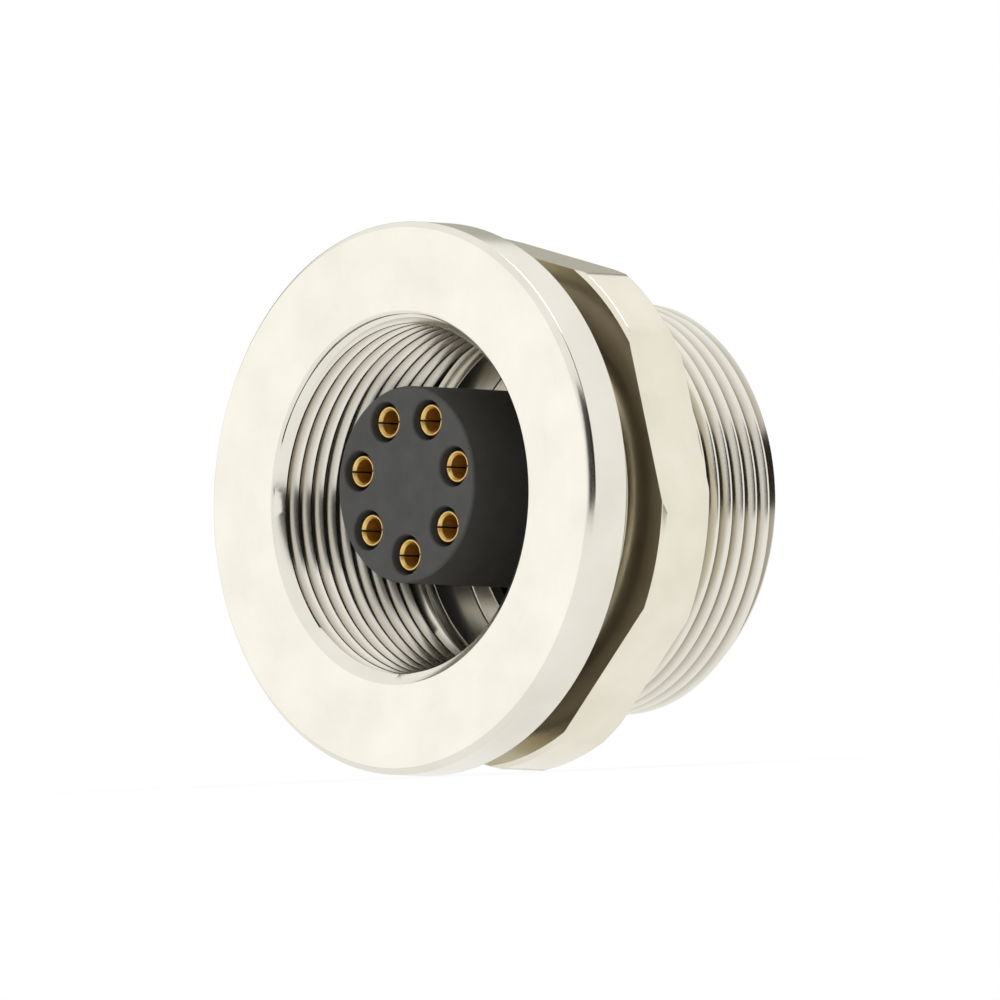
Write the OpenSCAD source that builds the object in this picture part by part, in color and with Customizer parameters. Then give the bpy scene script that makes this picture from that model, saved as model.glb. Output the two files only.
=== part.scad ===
// Panel-mount circular connector socket with a screw-locking mating bore.
// The axis runs along Y: the mating face looks to -Y and the solder side to +Y.
// The origin is the centre of the flange's rear face, where the panel is clamped.

/* [Flange] */
// Width by which the flange stands out past the panel thread, all round
flange_w = 3; // [2.5:0.1:6]
// Thickness of the flange
flange_t = 2.5; // [2:0.1:4]
// Width of the bevel round the flange's front edge
flange_front_bevel = 0.25; // [0.1:0.05:0.5]
// Width of the bevel round the flange's rear edge
flange_rear_bevel = 0.4; // [0.1:0.05:0.6]

/* [Threads] */
// Pitch of both threads
pitch = 0.75; // [0.5:0.05:1]
// Outer diameter of the panel thread
panel_thread_d = 18; // [16:0.25:20]
// Depth of the panel thread
panel_thread_depth = 0.45; // [0.3:0.05:0.5]
// Depth of the mating thread
mating_thread_depth = 0.4; // [0.3:0.05:0.45]
// Width of the flat on each thread's crests
crest_w = 0.1; // [0.05:0.01:0.2]

/* [Shell] */
// Thickness of the shell between the mating bore and the panel thread's crests
shell_wall = 1.4; // [1.3:0.05:2]
// Width of the step from the mating bore out to the rear bore
rear_bore_step = 0.25; // [0.15:0.05:0.35]
// Length of the shell's rim behind the retaining ring
rear_rim_l = 0.25; // [0.2:0.05:2]
// Depth of the turned relief where the panel thread meets the flange
thread_relief = 0.5; // [0.3:0.05:0.6]
// Length of that relief behind the flange's rear face
thread_relief_l = 0.9; // [0.5:0.1:1.5]
// Width of the bevel at the rear end of the panel thread
thread_end_bevel = 0.45; // [0.2:0.05:0.6]

/* [Mating bore] */
// Width of the bevel at the bore's mouth, across the front face
mouth_bevel_w = 0.5; // [0.3:0.05:0.8]
// Depth of that bevel
mouth_bevel_l = 0.5; // [0.3:0.05:0.8]
// Depth from the front face to the end of the mating thread
mating_thread_l = 8; // [6:0.25:10]
// Width of the relief groove behind the mating thread
groove_w = 0.65; // [0.4:0.05:0.9]
// Depth of the relief groove in the wall
groove_depth = 0.55; // [0.3:0.05:0.6]
// Length of the plain wall between the groove and the inner lip
plain_l = 2.25; // [1:0.25:4]
// Thickness of the inner lip that the insert bears on
lip_t = 0.7; // [0.5:0.1:1.5]
// Width by which the lip narrows the bore, all round
lip_w = 1; // [0.6:0.05:1.2]

/* [Nut] */
// Distance from the flange's edge in to the nut's turned corners
nut_inset = 0.25; // [0.1:0.05:1]
// Reach of the turned corners beyond the flats
nut_corner_reach = 0.75; // [0.5:0.05:1]
// Thickness of the nut
nut_t = 3; // [2:0.1:5]
// Distance from the flange's rear face to the nut
nut_gap = 2.15; // [2:0.05:4]
// Angle of the first flat's outward side, from +X towards +Z
nut_turn = 16.3; // [0:0.1:59]
// Width of the bevel on the nut's front corners
nut_front_bevel = 0.175; // [0.1:0.025:0.5]
// Width of the bevel on the nut's rear corners
nut_rear_bevel = 0.35; // [0.1:0.05:0.5]
// Width of the bevels at the ends of the nut's bore
nut_bore_bevel = 0.4; // [0.2:0.05:0.6]

/* [Contacts] */
// Diameter of the circle that the contacts stand on
contact_circle_d = 6.1; // [5.6:0.05:7]
// Diameter of the contact holes in the boss
hole_d = 1.75; // [1.55:0.05:1.95]
// Outer diameter of the socket barrel
barrel_d = 1.4; // [1.25:0.05:1.5]
// Inner diameter of the socket
socket_d = 1.04; // [0.9:0.02:1.16]
// Depth of the socket
socket_l = 6.5; // [5:0.25:8]
// Depth of the contact's mouth below the boss's face
contact_sink = 0.25; // [0.1:0.05:1.5]
// Width of the bevel round the contact's mouth
contact_bevel = 0.1; // [0.02:0.02:0.12]
// Width of the slit that splits the mouth into two springs
slit_w = 0.12; // [0.08:0.01:0.3]
// Length of that slit
slit_l = 4.5; // [3:0.25:5]
// Diameter of the solder cup
cup_d = 1.6; // [1.4:0.05:1.8]
// Inner diameter of the solder cup
cup_bore_d = 1.1; // [0.9:0.05:1.2]
// Depth of the solder cup
cup_l = 2.6; // [2:0.1:3.5]
// Reach of the solder cups behind the shell
tail_l = 3.5; // [3:0.1:5]
// Width of the step from the cup out to the collar that holds the contact
collar_step = 0.15; // [0.1:0.05:0.25]
// Thickness of the collar
collar_t = 0.6; // [0.4:0.05:0.7]

/* [Insert] */
// Thickness of plastic outside the contact holes in the boss
boss_wall = 0.35; // [0.3:0.05:1]
// Height of the boss's axis over the shell's axis
boss_rise = 0.6; // [0:0.05:0.8]
// Depth of the boss's face below the shell's front face
boss_sink = 0.4; // [0:0.05:1]
// Thickness of the insert's base
base_t = 0.9; // [0.8:0.05:2]
// Thickness of the rear cap's rim
cap_t = 0.6; // [0.4:0.05:1]
// Thickness of plastic outside the cup holes in the rear cap
cap_wall = 0.95; // [0.4:0.05:1.2]
// Height of the rear cap's boss behind its rim
cap_boss_l = 1.5; // [0.5:0.1:2.2]
// Width of the key that stops the insert from turning
key_w = 1.5; // [1:0.1:2.5]

/* [Seals and ring] */
// Thickness of the round cord that the panel ring is made of
o_ring_cord = 1.5; // [1.3:0.05:1.7]
// Height of the panel ring that stands out of its recess
o_ring_proud = 0.4; // [0.2:0.05:0.5]
// Thickness of the insert's gasket
gasket_t = 0.5; // [0.3:0.05:0.8]
// Width of the gasket's flat ring
gasket_w = 1; // [0.6:0.05:1.2]
// Thickness of the retaining ring
ring_t = 0.5; // [0.4:0.05:0.8]
// Width of the retaining ring's section
ring_w = 1.1; // [0.8:0.05:1.5]
// Depth of the retaining ring's groove
ring_groove = 0.3; // [0.2:0.02:0.35]
// Width of the opening between the retaining ring's ends
ring_opening = 3; // [1:0.25:5]

/* [Clearances] */
// Running clearance between the nut and the panel thread, on each side
nut_clearance = 0.05; // [0.02:0.01:0.08]
// Clearance round the cups and collars in the rear cap
contact_clearance = 0.05; // [0.03:0.01:0.06]
// Clearance round the insert, the gasket and the key in the shell
insert_clearance = 0.1; // [0.05:0.01:0.15]
// Clearance round the panel ring in its recess
o_ring_clearance = 0.03; // [0.02:0.01:0.1]

/* [Hidden] */
$fn = 96;
cut = 1;                       // how far a cutting body runs past a face
contacts = 7;                  // the first one stands at the bottom of the circle

// Places along the axis, from the front to the rear
front = -flange_t;
thread_stop = front + mating_thread_l;
groove_end = thread_stop + groove_w;
lip_front = groove_end + plain_l;
lip_rear = lip_front + lip_t;
base_front = lip_rear + gasket_t;
base_rear = base_front + base_t;
cap_rear = base_rear + cap_t;
ring_rear = cap_rear + ring_t;
shell_end = ring_rear + rear_rim_l;
boss_face = front + boss_sink;
contact_mouth = boss_face + contact_sink;
collar_rear = base_rear + collar_t;
tail_end = shell_end + tail_l;

// Radii that follow from the sizes above
thread_r = panel_thread_d / 2;
flange_r = thread_r + flange_w;
nut_corner_r = flange_r - nut_inset;
nut_flat_r = nut_corner_r - nut_corner_reach;
relief_r = thread_r - thread_relief;
bore_r = thread_r - shell_wall;
lip_r = bore_r - lip_w;
rear_bore_r = bore_r + rear_bore_step;
base_r = rear_bore_r - insert_clearance;
o_ring_in_r = relief_r + o_ring_clearance;
recess_r = o_ring_in_r + o_ring_cord + 4 * o_ring_clearance;
recess_depth = o_ring_cord - o_ring_proud;
ring_out_r = rear_bore_r + ring_groove - contact_clearance;
collar_r = cup_d / 2 + collar_step;
boss_r = (contact_circle_d + hole_d) / 2 + boss_wall;
cap_boss_r = (contact_circle_d + cup_d) / 2 + cap_wall;

// Stands what was drawn upwards on the origin along the axis instead, from the place y
module along_axis(y = 0) {
    translate([0, y, 0]) rotate([-90, 0, 0]) children();
}

// A body turned round the axis from an outline of [radius, place along the axis] points
module turned(outline) {
    along_axis() rotate_extrude() polygon(outline);
}

// A round bar along the axis between two places
module bar(r, from, to) {
    along_axis(from) cylinder(r = r, h = to - from);
}

// Copies its children to every contact's place on the raised circle
module each_contact() {
    for (i = [1 : contacts]) at_contact(i) children();
}

module at_contact(i) {
    turn = (i - 1) * 360 / contacts;
    reach = contact_circle_d / 2;
    translate([reach * sin(turn), 0, boss_rise - reach * cos(turn)]) children();
}

// The key's outline, drawn wider all round for the notches that it sits in
module key(from, to, room = 0) {
    inner = lip_r - 2 * insert_clearance;
    outer = base_r - 2 * insert_clearance;
    translate([-key_w / 2 - room, from, inner - room])
        cube([key_w + 2 * room, to - from, outer - inner + 2 * room]);
}

// Outline points of V-shaped rings, which stand for a thread between two places
function rings(crest_r, root_r, from, to) = [
    for (i = [0 : floor((to - from) / pitch) - 1], point = [
        [crest_r, crest_w / 2],
        [root_r, pitch / 2],
        [crest_r, pitch - crest_w / 2]
    ]) [point[0], from + i * pitch + point[1]]
];

function reversed(points) = [for (i = [len(points) - 1 : -1 : 0]) points[i]];

// One turned piece: flange, panel thread, mating bore, inner lip and rear bore
module shell() {
    ring_groove_r = rear_bore_r + ring_groove;
    thread_start = thread_relief_l + thread_relief;
    panel_rings = rings(thread_r, thread_r - panel_thread_depth,
                        thread_start, shell_end - thread_end_bevel);
    mating_rings = rings(bore_r, bore_r + mating_thread_depth,
                         front + mouth_bevel_l, thread_stop - crest_w);
    color([0.80, 0.79, 0.74]) difference() {
        turned(concat([
            [bore_r + mouth_bevel_w, front],
            [flange_r - flange_front_bevel, front],
            [flange_r, front + flange_front_bevel],
            [flange_r, -flange_rear_bevel],
            [flange_r - flange_rear_bevel, 0],
            [recess_r, 0],
            [recess_r, -recess_depth],
            [relief_r, -recess_depth],
            [relief_r, thread_relief_l],
            [thread_r, thread_start]
        ], panel_rings, [
            [thread_r, shell_end - thread_end_bevel],
            [thread_r - thread_end_bevel, shell_end],
            [rear_bore_r, shell_end],
            [rear_bore_r, ring_rear],
            [ring_groove_r, ring_rear],
            [ring_groove_r, cap_rear],
            [rear_bore_r, cap_rear],
            [rear_bore_r, lip_rear],
            [lip_r, lip_rear],
            [lip_r, lip_front],
            [bore_r, lip_front],
            [bore_r, groove_end],
            [bore_r + groove_depth, groove_end],
            [bore_r + groove_depth, thread_stop],
            [bore_r, thread_stop]
        ], reversed(mating_rings), [
            [bore_r, front + mouth_bevel_l]
        ]));
        key(lip_front - cut, lip_rear + cut, insert_clearance);
    }
}

// Hexagon with its corners turned down, and a bevelled bore that runs on the panel thread
module hex_nut() {
    rear = nut_gap + nut_t;
    run_r = thread_r + nut_clearance;
    mouth_r = run_r + nut_bore_bevel;
    color([0.78, 0.77, 0.71]) difference() {
        intersection() {
            along_axis(nut_gap) rotate(30 - nut_turn)
                cylinder(r = nut_flat_r / cos(30), h = nut_t, $fn = 6);
            turned([
                [0, nut_gap],
                [nut_corner_r - nut_front_bevel, nut_gap],
                [nut_corner_r, nut_gap + nut_front_bevel],
                [nut_corner_r, rear - nut_rear_bevel],
                [nut_corner_r - nut_rear_bevel, rear],
                [0, rear]
            ]);
        }
        turned([
            [0, nut_gap - cut],
            [mouth_r + cut, nut_gap - cut],
            [run_r, nut_gap + nut_bore_bevel],
            [run_r, rear - nut_bore_bevel],
            [mouth_r + cut, rear + cut],
            [0, rear + cut]
        ]);
    }
}

// Round rubber cord that lies on the floor of the flange's recess
module panel_o_ring() {
    cord_r = o_ring_cord / 2;
    color([0.07, 0.07, 0.07]) along_axis(cord_r - recess_depth) rotate_extrude()
        translate([o_ring_in_r + cord_r, 0]) circle(r = cord_r, $fn = 32);
}

// Moulded insert: raised boss, base and key, bored for the contacts
module front_insulator() {
    color([0.20, 0.21, 0.22]) difference() {
        union() {
            translate([0, 0, boss_rise]) bar(boss_r, boss_face, base_rear);
            bar(base_r, base_front, base_rear);
            key(lip_front, base_rear);
        }
        each_contact() bar(hole_d / 2, boss_face - cut, base_rear + cut);
    }
}

// Moulded cap behind the base, with a raised boss and pockets that hold the contacts' collars
module rear_insulator() {
    color([0.17, 0.18, 0.19]) difference() {
        union() {
            bar(base_r, base_rear, cap_rear);
            translate([0, 0, boss_rise]) bar(cap_boss_r, base_rear, cap_rear + cap_boss_l);
        }
        each_contact() {
            bar(cup_d / 2 + contact_clearance, base_rear - cut, tail_end);
            bar(collar_r + contact_clearance, base_rear - cut, collar_rear);
        }
    }
}

// Flat rubber ring between the inner lip and the base, notched for the key
module insert_gasket() {
    color([0.10, 0.10, 0.10]) difference() {
        bar(base_r, lip_rear, base_front);
        bar(base_r - gasket_w, lip_rear - cut, base_front + cut);
        key(lip_rear - cut, base_front + cut, insert_clearance);
    }
}

// Spring ring, open at the bottom, that snaps into the groove behind the cap
module retaining_ring() {
    color([0.60, 0.60, 0.58]) difference() {
        bar(ring_out_r, cap_rear, ring_rear);
        bar(ring_out_r - ring_w, cap_rear - cut, ring_rear + cut);
        translate([-ring_opening / 2, cap_rear - cut, -ring_out_r - cut])
            cube([ring_opening, ring_t + 2 * cut, ring_out_r]);
    }
}

// Turned socket: split barrel in front, collar, and a solder cup open to the outside
module contact(i) {
    turn = (i - 1) * 360 / contacts;
    cup_front = tail_end - cup_l;
    socket_r = socket_d / 2;
    color([0.83, 0.62, 0.24]) at_contact(i) difference() {
        turned([
            [0, contact_mouth],
            [barrel_d / 2 - contact_bevel, contact_mouth],
            [barrel_d / 2, contact_mouth + contact_bevel],
            [barrel_d / 2, base_rear],
            [collar_r, base_rear],
            [collar_r, collar_rear],
            [cup_d / 2, collar_rear],
            [cup_d / 2, tail_end],
            [0, tail_end]
        ]);
        bar(socket_r, contact_mouth - cut, contact_mouth + socket_l);
        translate([-barrel_d, contact_mouth - cut, -slit_w / 2])
            cube([2 * barrel_d, slit_l + cut, slit_w]);
        bar(cup_bore_d / 2, cup_front, tail_end + cut);
        rotate([0, -turn, 0]) translate([-cup_d, cup_front + cup_bore_d / 2, -cup_d])
            cube([2 * cup_d, cup_l + cut, cup_d]);
    }
}

shell();
hex_nut();
panel_o_ring();
front_insulator();
rear_insulator();
insert_gasket();
retaining_ring();
contact(1);  // contact_1
contact(2);  // contact_2
contact(3);  // contact_3
contact(4);  // contact_4
contact(5);  // contact_5
contact(6);  // contact_6
contact(7);  // contact_7
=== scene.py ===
# %% [markdown]
# # A round panel socket with a screw-locking bore
#
# The part is a small metal socket for seven contacts. Its flange sits against a panel, a thin
# hexagon nut clamps it from behind, and the mating plug screws into the thread inside the bore.
# Nearly every piece is turned on a lathe, so nearly every piece here is an outline that
# `bmesh.ops.spin` takes once round the Y axis. The lesson goes from the outside in.

# %% Imports and the fixed frame
import math

import bmesh
import bpy
from mathutils import Matrix, Vector


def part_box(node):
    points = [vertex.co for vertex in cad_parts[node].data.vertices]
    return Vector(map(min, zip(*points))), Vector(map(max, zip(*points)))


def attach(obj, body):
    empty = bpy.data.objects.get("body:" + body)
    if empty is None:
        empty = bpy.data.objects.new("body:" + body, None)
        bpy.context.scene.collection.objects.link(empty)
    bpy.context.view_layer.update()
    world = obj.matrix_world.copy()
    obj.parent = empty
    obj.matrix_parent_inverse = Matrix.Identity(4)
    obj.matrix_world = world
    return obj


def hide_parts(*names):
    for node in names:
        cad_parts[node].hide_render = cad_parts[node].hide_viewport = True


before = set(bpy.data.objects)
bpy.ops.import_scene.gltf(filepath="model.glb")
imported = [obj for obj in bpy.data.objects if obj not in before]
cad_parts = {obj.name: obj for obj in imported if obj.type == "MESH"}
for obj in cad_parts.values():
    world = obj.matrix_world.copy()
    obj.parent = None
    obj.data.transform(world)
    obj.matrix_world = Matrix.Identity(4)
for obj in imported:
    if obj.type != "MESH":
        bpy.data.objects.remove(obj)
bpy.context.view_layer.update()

# %% [markdown]
# ## Working in millimetres
#
# A connector is easiest to think of in millimetres, and Blender's scene is in metres. So every
# mesh is drawn in millimetres and brought down by a thousand as it is finished. The object then
# sits at the origin, unturned, with its place in its mesh.

# %% Places along the axis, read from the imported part
MM = 0.001
AXIS = Vector((0, 1, 0))


def reach(node):
    """A node's lowest and highest corners, in millimetres."""
    low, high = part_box(node)
    return Vector(low) / MM, Vector(high) / MM


shell_low, shell_high = reach("shell")
nut_low, nut_high = reach("hex_nut")
cord_low, cord_high = reach("panel_o_ring")
insert_low, insert_high = reach("front_insulator")
cap_low, cap_high = reach("rear_insulator")
gasket_low, gasket_high = reach("insert_gasket")
ring_low, ring_high = reach("retaining_ring")
contact_low, contact_high = reach("contact_1")

FRONT, REAR = shell_low.y, shell_high.y
FLANGE_R = shell_high.z
print("Flange radius", round(FLANGE_R, 3), "front", round(FRONT, 3), "rear", round(REAR, 3))

# %% [markdown]
# ## Outlines with rounded corners
#
# A turned part never has perfectly sharp corners: the tool leaves a small radius, and that
# radius is what catches the light. `rounded` takes the corners of an outline and puts an arc on
# each. A corner that needs its own radius carries it as a third number.

# %% Rounded outlines
def rounded(corners, radius=0.06, arc=3, closed=False):
    """The outline's points, with an arc of `arc` steps at each corner."""
    count = len(corners)
    points = []
    for i, corner in enumerate(corners):
        here = Vector(corner[:2])
        size = corner[2] if len(corner) > 2 else radius
        if size == 0 or (not closed and i in (0, count - 1)):
            points.append(here)
            continue
        back = Vector(corners[i - 1][:2]) - here
        ahead = Vector(corners[(i + 1) % count][:2]) - here
        half = back.angle(ahead) / 2
        if half > math.radians(88):
            points.append(here)
            continue
        run = min(size / math.tan(half), 0.45 * back.length, 0.45 * ahead.length)
        size = run * math.tan(half)
        inwards = (back.normalized() + ahead.normalized()).normalized()
        middle = here + inwards * run / math.cos(half)
        start = here + back.normalized() * run - middle
        end = here + ahead.normalized() * run - middle
        for step in range(arc + 1):
            points.append(middle + start.slerp(end, step / arc, start).normalized() * size)
    return points


# %% [markdown]
# ## One turn of the lathe
#
# `lathe` draws an outline of radius and place along the axis as a chain of edges and spins it
# once round. Every piece of one skin uses the same number of columns, so that the plain
# stretches and the threads meet vertex on vertex and merge into one closed surface.

# %% The lathe
COLUMNS = 160


def chain(bm, points):
    """A chain of edges from points of (radius, place along the axis)."""
    verts = [bm.verts.new((0, place, radius)) for radius, place in points]
    return verts, [bm.edges.new(pair) for pair in zip(verts, verts[1:])]


def lathe(bm, points, closed=False, columns=COLUMNS):
    """Spins an outline once round the axis."""
    verts, edges = chain(bm, points)
    if closed:
        edges.append(bm.edges.new((verts[-1], verts[0])))
    bmesh.ops.spin(bm, geom=verts + edges, axis=AXIS, cent=(0, 0, 0), dvec=(0, 0, 0),
                   angle=math.tau, steps=columns, use_merge=True)


# %% [markdown]
# ## Cutting a thread
#
# A thread's skin is a zigzag outline that moves on by one pitch as it goes once round, which
# `spin` does with `dvec`. A full turn then ends exactly one tooth further, on top of the first
# column, and the doubles merge. The zigzag is drawn longer than the thread. Afterwards its
# vertices are held between the two ends and under a steep cone at each, as the bevel that a
# lathe hand cuts first, so both ends close into a plain circle.

# %% The thread cutter
PITCH = 0.75
TOOTH = [(0, 0), (0.06, 0.04), (0.42, 0.95), (0.46, 1), (0.58, 1), (0.62, 0.95), (0.98, 0.04)]


def thread(bm, root, crest, start, end):
    """A right-hand thread whose ends close on circles of the root's radius."""
    height = crest - root
    first = math.floor((start - PITCH) / PITCH)
    last = math.ceil((end + PITCH) / PITCH)
    points = [(root + height * tall, (tooth + along) * PITCH)
              for tooth in range(first - 1, last) for along, tall in TOOTH]
    before = set(bm.verts)
    verts, edges = chain(bm, points)
    bmesh.ops.spin(bm, geom=verts + edges, axis=AXIS, cent=(0, 0, 0), dvec=(0, PITCH / COLUMNS, 0),
                   angle=math.tau, steps=COLUMNS, use_merge=False)
    side = 1 if crest > root else -1
    for v in set(bm.verts) - before:
        place = min(max(v.co.y, start), end)
        radius = math.hypot(v.co.x, v.co.z)
        room = 1.7 * min(place - start, end - place)
        held = root + side * min(side * (radius - root), room)
        v.co = Vector((v.co.x * held / radius, place, v.co.z * held / radius))


# %% [markdown]
# ## Finishing a piece
#
# The last steps are the same for all: merge doubles, turn the faces outwards, bring the mesh down
# to metres, give it the body it moves with and its material slot, and hide the CAD node it stands
# for. Faces that lie in one plane are first merged, so that a flat end is a few large faces and no
# fan of slivers. Edges that turn by more than 32 degrees stay crisp and the rest is smooth. A
# weighted normal keeps the large flat faces flat beside their small radii.

# %% From bmesh to finished piece
def piece_from(bm, name):
    """A closed object at the origin, in metres, from a bmesh in millimetres."""
    bmesh.ops.remove_doubles(bm, verts=bm.verts, dist=0.0008)
    bmesh.ops.dissolve_degenerate(bm, dist=0.0004, edges=bm.edges)
    bmesh.ops.recalc_face_normals(bm, faces=bm.faces)
    bmesh.ops.scale(bm, vec=(MM, MM, MM), verts=bm.verts)
    mesh = bpy.data.meshes.new(name)
    bm.to_mesh(mesh)
    bm.free()
    piece = bpy.data.objects.new(name, mesh)
    bpy.context.collection.objects.link(piece)
    return piece


def combine(piece, other, operation):
    """Applies one exact Boolean and removes the other object."""
    change = piece.modifiers.new("combine", "BOOLEAN")
    change.operation, change.solver, change.object = operation, "EXACT", other
    ready = piece.evaluated_get(bpy.context.evaluated_depsgraph_get())
    made = bpy.data.meshes.new_from_object(ready)
    piece.modifiers.clear()
    old, piece.data = piece.data, made
    old_other = other.data
    bpy.data.objects.remove(other)
    bpy.data.meshes.remove(old)
    bpy.data.meshes.remove(old_other)
    made.name = piece.name
    return piece


def hand_over(piece, body, node, material):
    """Gives a piece its body, its finish and its shading, and hides the CAD node it stands for."""
    mesh = piece.data
    flat = bmesh.new()
    flat.from_mesh(mesh)
    bmesh.ops.dissolve_limit(flat, angle_limit=math.radians(0.1), verts=flat.verts,
                             edges=flat.edges)
    bmesh.ops.remove_doubles(flat, verts=flat.verts, dist=0.0008 * MM)
    bmesh.ops.holes_fill(flat, edges=[edge for edge in flat.edges if edge.is_boundary], sides=6)
    flat.to_mesh(mesh)
    flat.free()
    mesh.materials.clear()
    mesh.materials.append(material)
    for face in mesh.polygons:
        face.use_smooth, face.material_index = True, 0
    mesh.set_sharp_from_angle(angle=math.radians(32))
    weigh = piece.modifiers.new("flat faces stay flat", "WEIGHTED_NORMAL")
    weigh.keep_sharp = True
    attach(piece, body)
    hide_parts(node)
    count = bmesh.new()
    count.from_mesh(mesh)
    loose = sum(not edge.is_manifold for edge in count.edges)
    print(f"{piece.name}: {len(mesh.polygons)} faces, {loose} open edges, "
          f"volume {count.calc_volume() / MM**3:.1f} mm3")
    count.free()
    return piece


# %% [markdown]
# ## Nickel plate
#
# The shell and the nut are turned brass under a bright nickel plate. Nickel is a warm, slightly
# yellow grey. The tool leaves fine rings, which are streaks of noise that change with the
# distance from the axis and with the place along it, but not round the axis. They break up the
# reflections a little, through the roughness and a faint bump.

# %% Node helpers
def new_material(name, colour, metallic, roughness, **sockets):
    """A material with its shader's fixed values set on the sockets."""
    made = bpy.data.materials.new(name)
    made.use_nodes = True
    made.diffuse_color = (*colour, 1)
    shader = made.node_tree.nodes["Principled BSDF"]
    shader.inputs["Base Color"].default_value = (*colour, 1)
    shader.inputs["Metallic"].default_value = metallic
    shader.inputs["Roughness"].default_value = roughness
    for socket, value in sockets.items():
        shader.inputs[socket.replace("_", " ")].default_value = value
    return made, made.node_tree, shader


def node(tree, kind, links=(), **settings):
    """A node with its settings, and its inputs set or linked by name or number."""
    made = tree.nodes.new(kind)
    for key, value in settings.items():
        setattr(made, key, value)
    for socket, value in links:
        if isinstance(value, bpy.types.NodeSocket):
            tree.links.new(value, made.inputs[socket])
        else:
            made.inputs[socket].default_value = value
    return made


def place_in_mm(tree):
    """The point on the object, in millimetres."""
    where = node(tree, "ShaderNodeTexCoord").outputs["Object"]
    scaled = node(tree, "ShaderNodeVectorMath", [(0, where), (3, 1 / MM)], operation="SCALE")
    return scaled.outputs[0]


def radius_and_place(tree):
    """The distance from the axis and the place along it, in millimetres."""
    apart = node(tree, "ShaderNodeSeparateXYZ", [(0, place_in_mm(tree))]).outputs
    flat = node(tree, "ShaderNodeCombineXYZ", [(0, apart[0]), (1, apart[2])]).outputs[0]
    radius = node(tree, "ShaderNodeVectorMath", [(0, flat)], operation="LENGTH").outputs["Value"]
    return radius, apart[1]


def lathe_marks(tree, fine):
    """Noise that runs in rings: it changes with the radius and along the axis only."""
    radius, place = radius_and_place(tree)
    rings = node(tree, "ShaderNodeCombineXYZ", [(0, radius), (1, place)]).outputs[0]
    return node(tree, "ShaderNodeTexNoise", [("Vector", rings), ("Scale", fine), ("Detail", 3)])


def cloud(tree, scale, detail=4):
    """Soft, irregular noise over the whole surface."""
    return node(tree, "ShaderNodeTexNoise",
                [("Vector", place_in_mm(tree)), ("Scale", scale), ("Detail", detail)])


def between(tree, factor, low, high, start=0.3, stop=0.7):
    """Takes a noise of about start to stop to a number from low to high."""
    return node(tree, "ShaderNodeMapRange",
                [(0, factor), (1, start), (2, stop), (3, low), (4, high)]).outputs[0]


def mixed(tree, factor, first, second):
    """A colour between two, by a factor."""
    made = node(tree, "ShaderNodeMix", data_type="RGBA")
    tree.links.new(factor, made.inputs[0])
    made.inputs[6].default_value, made.inputs[7].default_value = (*first, 1), (*second, 1)
    return made.outputs[2]


def bumped(tree, shader, height, strength, distance):
    """Feeds a height in millimetres to the shader's normal."""
    made = node(tree, "ShaderNodeBump",
                [("Height", height), ("Strength", strength), ("Distance", distance * MM)])
    tree.links.new(made.outputs[0], shader.inputs["Normal"])


# %% [markdown]
# Painted shade darkens the bottom of a thread: a thread's root can take a darker, browner colour,
# by its distance from the axis, in place of the shade that falls there.

# %% Plated metal
def root_painted_shade(tree, crest, root, first, last):
    """The mask of the painted shade: one at a thread's root and zero at its crest, between two
    places along the axis.
    """
    radius, place = radius_and_place(tree)
    deep = between(tree, radius, 0, 1, crest, root)
    edge = node(tree, "ShaderNodeMath", [(0, radius), (1, root), (2, abs(root - crest) + 0.06)],
                operation="COMPARE").outputs[0]
    middle, half = (first + last) / 2, (last - first) / 2
    along = node(tree, "ShaderNodeMath", [(0, place), (1, middle), (2, half)],
                 operation="COMPARE").outputs[0]
    both = node(tree, "ShaderNodeMath", [(0, edge), (1, along)], operation="MULTIPLY").outputs[0]
    return node(tree, "ShaderNodeMath", [(0, deep), (1, both)], operation="MULTIPLY").outputs[0]


def plated(name, pale, deep, smooth, rough, marks, shaded_roots=()):
    """Nickel over brass with turning marks, whose fineness per millimetre is `marks`, and painted
    shade in the listed thread roots.
    """
    made, tree, shader = new_material(name, pale, 1, smooth)
    haze = cloud(tree, 0.35).outputs["Fac"]
    rings = lathe_marks(tree, marks).outputs["Fac"]
    colour = mixed(tree, between(tree, haze, 0, 1), pale, deep)
    for root in shaded_roots:
        root_shade_mix = node(tree, "ShaderNodeMix", data_type="RGBA")
        tree.links.new(root_painted_shade(tree, *root), root_shade_mix.inputs[0])
        tree.links.new(colour, root_shade_mix.inputs[6])
        # painted shade: the darker brown that stands in for the shade in a thread's root
        root_shade_mix.inputs[7].default_value = (0.36, 0.32, 0.25, 1)
        colour = root_shade_mix.outputs[2]
    tree.links.new(colour, shader.inputs["Base Color"])
    both = node(tree, "ShaderNodeMath", [(0, haze), (1, rings)], operation="MULTIPLY").outputs[0]
    tree.links.new(between(tree, both, smooth, rough, 0.12, 0.42), shader.inputs["Roughness"])
    bumped(tree, shader, rings, 0.12, 0.003)
    return made


# The shell's two threads take the painted shade in their roots.
nickel_shell = plated("nickel_shell", (0.83, 0.80, 0.715), (0.77, 0.74, 0.655), 0.14, 0.21, 9,
                      shaded_roots=[(8.95, 8.6, 1, REAR - 0.1), (7.65, 7.95, FRONT + 0.4, FRONT + 8)])
nickel_nut = plated("nickel_nut", (0.84, 0.795, 0.675), (0.77, 0.725, 0.60), 0.15, 0.24, 7)

# %% [markdown]
# ## The shell
#
# Flange, panel thread, bore and lip are one turned piece. Its skin is made of four bands that
# share their end circles: the front and the flange, the panel thread, the rear bore with its
# lip, and the mating thread. A milled notch in the lip takes the insert's key.

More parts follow.
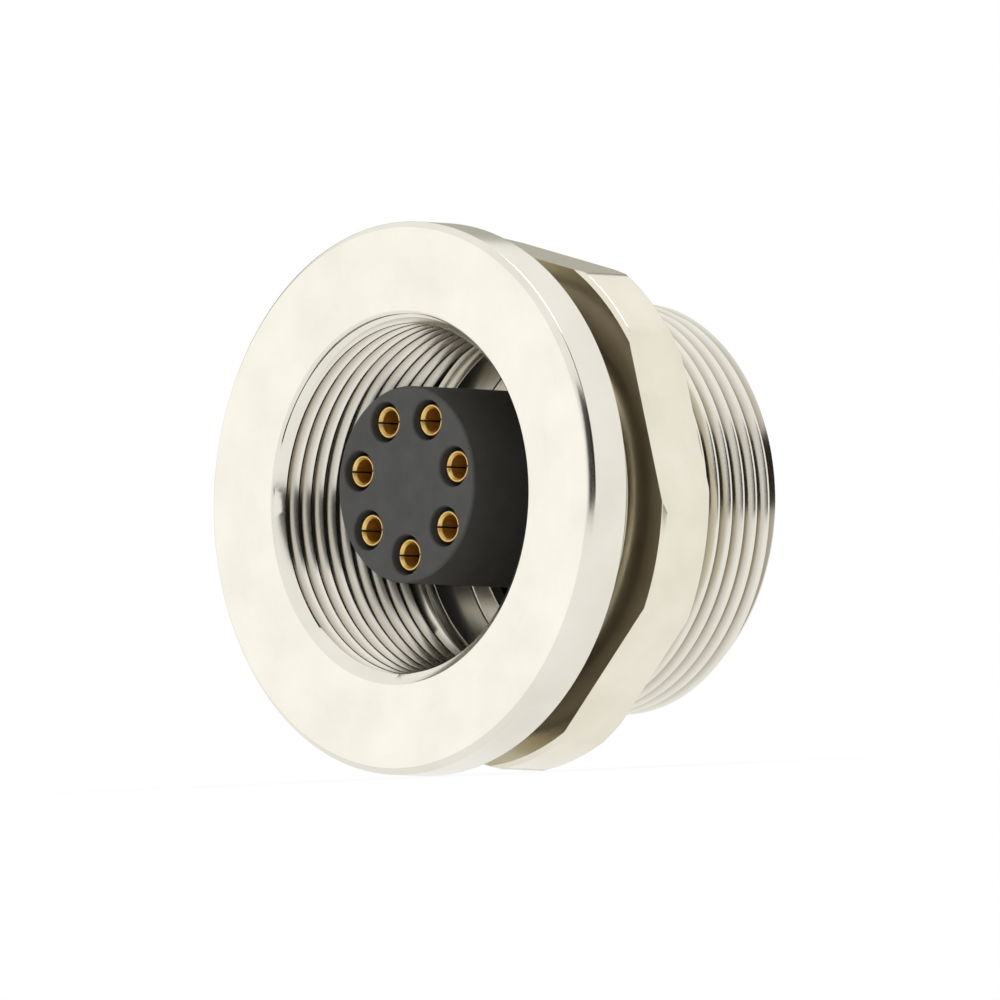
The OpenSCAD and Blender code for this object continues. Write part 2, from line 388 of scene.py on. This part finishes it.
# %% Sizes of the shell
thread_r = 9.0
panel_root_r = 8.55
relief_r = 8.5
relief_end = 0.9
bore_r = 7.6
mating_root_r = 8.0
mouth_r = 8.1
thread_stop = FRONT + 8.0
groove_r, groove_end = 8.15, thread_stop + 0.65
lip_front, lip_rear, lip_r = 8.4, gasket_low.y, 6.6
rear_bore_r = 7.85
ring_groove_r = 8.15
recess_r = cord_high.z + 0.12
recess_floor = cord_low.y
key_half = 0.75

# %% The shell's skin
bm = bmesh.new()
mouth_place = FRONT + mouth_r - mating_root_r
lathe(bm, rounded([
    (mating_root_r, mouth_place),
    (mouth_r, FRONT, 0.1),
    (FLANGE_R - 0.25, FRONT, 0.12),
    (FLANGE_R, FRONT + 0.25, 0.12),
    (FLANGE_R, -0.4, 0.15),
    (FLANGE_R - 0.4, 0, 0.15),
    (recess_r, 0, 0.08),
    (recess_r, recess_floor, 0.1),
    (relief_r, recess_floor, 0.1),
    (relief_r, relief_end, 0),
    (panel_root_r, relief_end + panel_root_r - relief_r),
]))
thread(bm, panel_root_r, thread_r, relief_end + panel_root_r - relief_r, REAR)
lathe(bm, rounded([
    (panel_root_r, REAR),
    (rear_bore_r, REAR, 0.08),
    (rear_bore_r, ring_high.y, 0.03),
    (ring_groove_r, ring_high.y, 0.03),
    (ring_groove_r, ring_low.y, 0.03),
    (rear_bore_r, ring_low.y, 0.03),
    (rear_bore_r, lip_rear, 0.05),
    (lip_r, lip_rear, 0.08),
    (lip_r, lip_front, 0.08),
    (bore_r, lip_front, 0.08),
    (bore_r, groove_end, 0.04),
    (groove_r, groove_end, 0.05),
    (groove_r, thread_stop, 0.03),
    (mating_root_r, thread_stop),
]))
thread(bm, mating_root_r, bore_r, mouth_place, thread_stop)
shell = piece_from(bm, "shell_turned")

# %% [markdown]
# The notch for the key is milled through the lip. A Boolean is the plainest way here, because
# the cutter is a simple block and the shell's skin is closed.

# %% Blocks for milling
def block(name, low, high, bevel=0.0):
    """A block between two corners, in millimetres, with its edges broken if asked."""
    low, high = Vector(low), Vector(high)
    bm = bmesh.new()
    bmesh.ops.create_cube(bm, size=1)
    bmesh.ops.scale(bm, vec=high - low, verts=bm.verts)
    bmesh.ops.translate(bm, vec=(low + high) / 2, verts=bm.verts)
    if bevel:
        bmesh.ops.bevel(bm, geom=bm.edges, offset=bevel, segments=2, profile=0.5, material=-1,
                        affect="EDGES")
    return piece_from(bm, name)


notch = block("notch", (-key_half - 0.1, lip_front - 0.5, lip_r - 0.3),
              (key_half + 0.1, lip_rear + 0.3, rear_bore_r - 0.2))
combine(shell, notch, "DIFFERENCE")
hand_over(shell, "connector", "shell", nickel_shell)

# %% [markdown]
# ## The hexagon nut
#
# A real nut starts as a turned blank whose corners are bevelled on the lathe, and then the six
# flats are milled. The same order gives the same curves here: the blank is spun, and
# `bisect_plane` cuts each flat off, which leaves the arcs where the flat meets the bevel.

# %% The nut
nut_r = 11.75
nut_flat = 11.0
nut_bore = 9.05
nut_root = 9.35
nut_turn = math.radians(16.3)
nut_front, nut_rear = nut_low.y, nut_high.y

bm = bmesh.new()
lathe(bm, rounded([
    (nut_root, nut_rear - 0.1),
    (nut_bore + 0.4, nut_rear, 0.06),
    (nut_r - 0.35, nut_rear, 0.1),
    (nut_r, nut_rear - 0.35, 0.1),
    (nut_r, nut_front + 0.175, 0.08),
    (nut_r - 0.175, nut_front, 0.08),
    (nut_bore + 0.4, nut_front, 0.06),
    (nut_root, nut_front + 0.1),
]))
thread(bm, nut_root, nut_bore, nut_front + 0.1, nut_rear - 0.1)
bmesh.ops.remove_doubles(bm, verts=bm.verts, dist=0.0008)
for side in range(6):
    angle = nut_turn + side * math.pi / 3
    outwards = Vector((math.cos(angle), 0, math.sin(angle)))
    cut = bmesh.ops.bisect_plane(bm, geom=bm.verts[:] + bm.edges[:] + bm.faces[:],
                                 plane_co=outwards * nut_flat, plane_no=outwards,
                                 clear_outer=True, dist=0.0002)
    rim = [e for e in cut["geom_cut"] if isinstance(e, bmesh.types.BMEdge)]
    flat = bmesh.ops.contextual_create(bm, geom=rim)["faces"]
    print("flat", side, "closed with", len(flat), "face")
hex_nut = piece_from(bm, "hex_nut_milled")
hand_over(hex_nut, "nut", "hex_nut", nickel_nut)

# %% [markdown]
# ## Rubber
#
# The panel ring is a round cord of brown-grey rubber that lies in the flange's recess. A flat
# rubber gasket seals the insert against the lip. Both are matt, with a faint dusty bloom.

# %% Rubber finish
def moulded(name, colour, bloom, roughness, grain, depth):
    """A matt moulded finish: a fine grain in the bump and a soft bloom in the colour."""
    made, tree, shader = new_material(name, colour, 0, roughness, Specular_IOR_Level=0.28)
    dust = cloud(tree, 0.9).outputs["Fac"]
    fine = cloud(tree, grain, 2).outputs["Fac"]
    tree.links.new(mixed(tree, between(tree, dust, 0, 1), colour, bloom),
                   shader.inputs["Base Color"])
    tree.links.new(between(tree, fine, roughness - 0.06, roughness + 0.08),
                   shader.inputs["Roughness"])
    bumped(tree, shader, fine, 0.5, depth)
    return made


seal_rubber = moulded("seal_rubber", (0.016, 0.016, 0.016), (0.028, 0.027, 0.026), 0.6, 9, 0.012)
cord_rubber = moulded("cord_rubber", (0.27, 0.225, 0.165), (0.32, 0.27, 0.20), 0.55, 9, 0.012)

# %% The panel ring and the gasket
cord_r = (cord_high.y - cord_low.y) / 2
bm = bmesh.new()
cord_middle = Vector((cord_high.z - cord_r, cord_low.y + cord_r))
section = [cord_middle + Vector((math.cos(turn), math.sin(turn))) * cord_r
           for turn in (math.tau * i / 28 for i in range(28))]
lathe(bm, section, closed=True)
panel_ring = piece_from(bm, "panel_ring_cord")
hand_over(panel_ring, "connector", "panel_o_ring", cord_rubber)

bm = bmesh.new()
gasket_r = gasket_high.z
lathe(bm, rounded([(gasket_r, gasket_low.y), (gasket_r, gasket_high.y),
                   (gasket_r - 1, gasket_high.y), (gasket_r - 1, gasket_low.y)],
                  closed=True), closed=True)
gasket = piece_from(bm, "gasket_flat")
notch = block("gasket_notch", (-key_half - 0.1, gasket_low.y - 1, gasket_r - 1.4),
              (key_half + 0.1, gasket_high.y + 1, gasket_r - 0.1))
combine(gasket, notch, "DIFFERENCE")
hand_over(gasket, "connector", "insert_gasket", seal_rubber)

# %% [markdown]
# ## The insert
#
# The contacts sit in a dark grey moulded insert. Its round boss stands a little above the
# shell's axis, which keys the plug together with the rib at the top of the base. The seven
# holes are drilled with trumpet-shaped cutters, so that each rim gets the small radius of a
# moulded part in the same cut.

# %% Plastic finishes
insert_plastic = moulded(
    "insert_plastic", (0.072, 0.072, 0.070), (0.088, 0.088, 0.085), 0.55, 14, 0.006)
cap_plastic = moulded(
    "cap_plastic", (0.036, 0.036, 0.035), (0.046, 0.046, 0.044), 0.52, 12, 0.006)

# %% Where the contacts stand
CONTACTS = 7
circle_r = 3.05
boss_rise = 0.6


def contact_place(number):
    """The turn and the middle of a contact; the first one is at the bottom."""
    turn = (number - 1) * math.tau / CONTACTS
    return turn, Vector((circle_r * math.sin(turn), 0, boss_rise - circle_r * math.cos(turn)))


def turned_solid(name, corners, radius=0.06, middle=(0, 0, 0), columns=COLUMNS):
    """A closed turned solid whose outline starts and ends on its own axis."""
    bm = bmesh.new()
    lathe(bm, rounded(corners, radius), columns=columns)
    bmesh.ops.translate(bm, vec=middle, verts=bm.verts)
    return piece_from(bm, name)


def drill(piece, radius, start, stop, rim, past=0.6, columns=64):
    """Drills the seven contact holes, with a rounded rim of radius `rim` at both faces."""
    for number in range(1, CONTACTS + 1):
        _, middle = contact_place(number)
        flare = [(radius + rim * (1 - math.cos(a)), start + rim * (1 - math.sin(a)))
                 for a in (math.pi / 2 * i / 4 for i in range(4, -1, -1))]
        back = [(r, start + stop - place) for r, place in reversed(flare)]
        points = [(0, start - past), (radius + rim, start - past), *flare, *back,
                  (radius + rim, stop + past), (0, stop + past)]
        bm = bmesh.new()
        lathe(bm, points, columns=columns)
        bmesh.ops.translate(bm, vec=middle, verts=bm.verts)
        combine(piece, piece_from(bm, "drill"), "DIFFERENCE")


# %% The front insulator
boss_r = 4.275
base_r = insert_high.x
base_front, base_rear = gasket_high.y, insert_high.y
boss_face = insert_low.y

front_insulator = turned_solid("insert_front", [
    (0, boss_face), (boss_r, boss_face, 0.14), (boss_r, base_rear - 0.2), (0, base_rear - 0.2),
], middle=(0, 0, boss_rise))
base = turned_solid("insert_base", [
    (0, base_front), (base_r, base_front, 0.1), (base_r, base_rear, 0.06), (0, base_rear),
])
combine(front_insulator, base, "UNION")
rib = block("insert_key", (-key_half, lip_front, lip_r - 0.2),
            (key_half, base_rear - 0.1, base_r - 0.2), 0.08)
combine(front_insulator, rib, "UNION")
drill(front_insulator, 0.875, boss_face, base_rear, 0.09)
hand_over(front_insulator, "connector", "front_insulator", insert_plastic)

# %% The rear cap
cap_r = 7.75
cap_boss_r = 4.8
cap_rim_rear = ring_low.y
rear_cap = turned_solid("insert_cap", [
    (0, cap_low.y), (cap_r, cap_low.y, 0.06), (cap_r, cap_rim_rear, 0.1), (0, cap_rim_rear),
])
cap_boss = turned_solid("insert_cap_boss", [
    (0, cap_low.y + 0.1), (cap_boss_r, cap_low.y + 0.1),
    (cap_boss_r, cap_high.y, 0.2), (0, cap_high.y),
], middle=(0, 0, boss_rise))
combine(rear_cap, cap_boss, "UNION")
drill(rear_cap, 0.85, cap_low.y, cap_high.y, 0.1)
hand_over(rear_cap, "connector", "rear_insulator", cap_plastic)

# %% [markdown]
# ## The retaining ring
#
# A spring ring snaps into the groove behind the cap and holds the insert against the lip. It is
# a flat section that goes nearly once round and stays open at the bottom. A spin of a filled
# face, rather than of edges, closes both ends by itself.

# %% Spring steel and the ring
ring_steel = plated("ring_steel", (0.56, 0.55, 0.53), (0.47, 0.46, 0.44), 0.26, 0.4, 5)

ring_r = ring_high.x
ring_w = 1.1
opening = 2 * math.asin(1.5 / (ring_r - ring_w / 2))
bm = bmesh.new()
outline = rounded([(ring_r, ring_low.y), (ring_r, ring_high.y),
                   (ring_r - ring_w, ring_high.y), (ring_r - ring_w, ring_low.y)],
                  0.08, closed=True)
verts = [bm.verts.new((0, place, -radius)) for radius, place in outline]
face = bm.faces.new(verts)
bmesh.ops.rotate(bm, verts=verts, cent=(0, 0, 0), matrix=Matrix.Rotation(opening / 2, 3, "Y"))
bmesh.ops.spin(bm, geom=[face, *face.edges, *verts], axis=AXIS, cent=(0, 0, 0), dvec=(0, 0, 0),
               angle=math.tau - opening, steps=120, use_merge=False)
retaining_ring = piece_from(bm, "ring_spring")
hand_over(retaining_ring, "connector", "retaining_ring", ring_steel)

# %% [markdown]
# ## The contacts
#
# Each contact is a gold-plated socket: a barrel with a slit that lets its two halves spring, a
# collar that the cap traps, and a solder cup at the rear whose outer side is cut open for the
# wire. One outline is spun seven times, and the slit and the cup's window are milled.

# %% Gold and the contacts
contact_gold, tree, shader = new_material("contact_gold", (0.83, 0.58, 0.25), 1, 0.2)
haze = cloud(tree, 1.6).outputs["Fac"]
tree.links.new(mixed(tree, between(tree, haze, 0, 1), (0.95, 0.70, 0.27), (0.86, 0.58, 0.18)),
               shader.inputs["Base Color"])
tree.links.new(between(tree, haze, 0.36, 0.48), shader.inputs["Roughness"])
bumped(tree, shader, cloud(tree, 12, 2).outputs["Fac"], 0.3, 0.004)

barrel_r, socket_r = 0.7, 0.52
collar_r = 0.95
cup_r, cup_bore_r = 0.8, 0.55
collar_front = base_rear
collar_rear = collar_front + 0.6
mouth, tail = contact_low.y, contact_high.y
socket_end = mouth + 6.5
cup_front = tail - 2.6
slit_half, slit_l = 0.04, 4.5

for number in range(1, CONTACTS + 1):
    turn, middle = contact_place(number)
    bm = bmesh.new()
    lathe(bm, rounded([
        (0, socket_end + 0.25), (socket_r, socket_end, 0), (socket_r, mouth + 0.14, 0.04),
        (socket_r + 0.1, mouth, 0.02), (barrel_r - 0.04, mouth, 0.015),
        (barrel_r, mouth + 0.08, 0.03),
        (barrel_r, collar_front, 0), (collar_r, collar_front, 0.03), (collar_r, collar_rear, 0.03),
        (cup_r, collar_rear, 0), (cup_r, tail, 0.05), (cup_bore_r, tail, 0.05),
        (cup_bore_r, cup_front, 0), (0, cup_front - 0.25),
    ]), columns=48)
    contact = piece_from(bm, f"contact_{number}_turned")
    slit = block("slit", (-1, mouth - 1, -slit_half), (1, mouth + slit_l, slit_half))
    combine(contact, slit, "DIFFERENCE")
    window = block("window", (-1, cup_front + 0.45, -2), (1, tail + 1, 0), 0.12)
    window.data.transform(Matrix.Rotation(-turn, 4, "Y"))
    combine(contact, window, "DIFFERENCE")
    contact.data.transform(Matrix.Translation(middle * MM))
    hand_over(contact, "connector", f"contact_{number}", contact_gold)

# %% [markdown]
# ## Camera
#
# The socket is seen from its front right through a long lens that hardly converges. The camera
# looks up by a few degrees, so the axis falls slightly towards the rear.

# %% The camera
azimuth, elevation = math.radians(46.3), math.radians(-2.8)
distance = 1.2
view_width = 0.0433

back = Vector((math.sin(azimuth) * math.cos(elevation), -math.cos(azimuth) * math.cos(elevation),
               math.sin(elevation)))
camera = bpy.data.objects.new("camera", bpy.data.cameras.new("camera"))
bpy.context.collection.objects.link(camera)
camera.data.sensor_width = 36
camera.data.lens = 36 * distance / view_width
camera.rotation_mode = "QUATERNION"
camera.rotation_quaternion = (-back).to_track_quat("-Z", "Y")
right = camera.rotation_quaternion @ Vector((1, 0, 0))
up = camera.rotation_quaternion @ Vector((0, 1, 0))
aim = Vector((0, FRONT, 0)) * MM + right * 4.37 * MM + up * -0.09 * MM
camera.location = aim + back * distance
camera.data.clip_start, camera.data.clip_end = 0.01, 10
bpy.context.scene.camera = camera
bpy.context.scene.view_settings.view_transform = "Standard"

# %% [markdown]
# ## Floor, backdrop and light
#
# The socket rests on a plain white table, on the rear edge of its flange. The wide flange props
# up the front, so the table rises slightly towards the rear, and it stays clear of the nut over
# the nut's whole travel. Towards its edge the table fades into pure white, so no horizon shows.
# Near the socket a small share of it is an ordinary matt surface, which keeps the shadow.

# %% What the camera, the metal and the glass see
def seen_directly(tree):
    """One for rays from the camera and for those that metal or glass sends on, else zero."""
    ray = node(tree, "ShaderNodeLightPath").outputs
    both = node(tree, "ShaderNodeMath", [(0, ray["Is Camera Ray"]), (1, ray["Is Glossy Ray"])],
                operation="MAXIMUM").outputs[0]
    return node(tree, "ShaderNodeMath", [(0, both), (1, ray["Is Transmission Ray"])],
                operation="MAXIMUM").outputs[0]


# %% Floor
FLOOR_R = 400
FLOOR_RISE = math.radians(3.5)
bm = bmesh.new()
bmesh.ops.create_circle(bm, cap_ends=True, segments=96, radius=FLOOR_R)
bmesh.ops.rotate(bm, verts=bm.verts, cent=(0, 0, 0), matrix=Matrix.Rotation(FLOOR_RISE, 3, "X"))
bmesh.ops.translate(bm, vec=(0, -0.4, -FLANGE_R - 0.02), verts=bm.verts)
floor = piece_from(bm, "floor")
floor_paint = bpy.data.materials.new("floor_paint")
floor_paint.use_nodes = True
tree = floor_paint.node_tree
tree.nodes.clear()
apart = node(tree, "ShaderNodeVectorMath", [(0, place_in_mm(tree))], operation="LENGTH")
white_share = between(tree, apart.outputs["Value"], 0.9, 1.0, 8, 36)
share = node(tree, "ShaderNodeMath", [(0, seen_directly(tree)), (1, white_share)],
             operation="MULTIPLY")
matt = node(tree, "ShaderNodeBsdfDiffuse", [("Color", (0.95, 0.95, 0.95, 1))])
glow = node(tree, "ShaderNodeEmission", [("Color", (1, 1, 1, 1)), ("Strength", 1.0)])
paint = node(tree, "ShaderNodeMixShader",
             [(0, share.outputs[0]), (1, matt.outputs[0]), (2, glow.outputs[0])])
node(tree, "ShaderNodeOutputMaterial", [(0, paint.outputs[0])])
floor.data.materials.append(floor_paint)

# %% World
world = bpy.data.worlds.new("studio")
bpy.context.scene.world = world
world.use_nodes = True
tree = world.node_tree
tree.nodes.clear()
studio = node(tree, "ShaderNodeBackground", [("Color", (1.0, 0.99, 0.97, 1)), ("Strength", 0.8)])
white = node(tree, "ShaderNodeBackground", [("Color", (1, 1, 1, 1)), ("Strength", 1.0)])
sky = node(tree, "ShaderNodeMixShader",
           [(0, seen_directly(tree)), (1, studio.outputs[0]), (2, white.outputs[0])])
node(tree, "ShaderNodeOutputWorld", [(0, sky.outputs[0])])

# %% [markdown]
# Polished metal in an all-white room has no shape, because every face mirrors the same white. So
# dark cards stand round the object, outside the picture. They are curved screens: a bearing of 0
# is straight in front of the flange, and 90 is to its right. The camera never sees a card as
# dark, so that a view from any side keeps its white background.

# %% Cards
def card(name, first, last, bottom, top, distance, colour):
    """A curved screen between two bearings and two heights, all in degrees."""
    bm = bmesh.new()
    heights = [distance / MM * math.tan(math.radians(height)) for height in (bottom, top)]
    verts = [bm.verts.new((0, -distance / MM, height)) for height in heights]
    edge = bm.edges.new(verts)
    bmesh.ops.rotate(bm, verts=verts, cent=(0, 0, 0),
                     matrix=Matrix.Rotation(math.radians(first), 3, "Z"))
    bmesh.ops.spin(bm, geom=[*verts, edge], axis=(0, 0, 1), cent=(0, 0, 0), dvec=(0, 0, 0),
                   angle=math.radians(last - first), steps=24, use_merge=False)
    screen = piece_from(bm, name)
    made = bpy.data.materials.new(name)
    made.use_nodes = True
    tree = made.node_tree
    tree.nodes.clear()
    ray = node(tree, "ShaderNodeLightPath").outputs
    cloth = node(tree, "ShaderNodeEmission", [("Color", (*colour, 1)), ("Strength", 1.0)])
    white = node(tree, "ShaderNodeEmission", [("Color", (1, 1, 1, 1)), ("Strength", 1.0)])
    both = node(tree, "ShaderNodeMixShader",
                [(0, ray["Is Camera Ray"]), (1, cloth.outputs[0]), (2, white.outputs[0])])
    node(tree, "ShaderNodeOutputMaterial", [(0, both.outputs[0])])
    screen.data.materials.append(made)
    return screen


card("dark card beside the camera", 38, 72, -4, 34, 1.5, (0.035, 0.032, 0.028))
card("dark card on the right", 72, 114, -4, 62, 1.5, (0.060, 0.050, 0.036))
card("grey card behind on the left", 200, 246, -4, 31, 1.5, (0.46, 0.45, 0.40))


# %% Lamps
def soft_box(name, azimuth, elevation, distance, size, power):
    """A square lamp at a direction from the object, facing it."""
    lamp = bpy.data.lights.new(name, "AREA")
    lamp.shape, lamp.size, lamp.energy = "SQUARE", size, power
    holder = bpy.data.objects.new(name, lamp)
    bpy.context.collection.objects.link(holder)
    a, e = math.radians(azimuth), math.radians(elevation)
    back = Vector((math.sin(a) * math.cos(e), -math.cos(a) * math.cos(e), math.sin(e)))
    holder.location = back * distance
    holder.rotation_mode = "QUATERNION"
    holder.rotation_quaternion = (-back).to_track_quat("-Z", "Y")
    return holder


soft_box("front left light", -46, 8, 0.7, 0.6, 0.2)
soft_box("top light", 150, 70, 0.4, 0.2, 0.35)
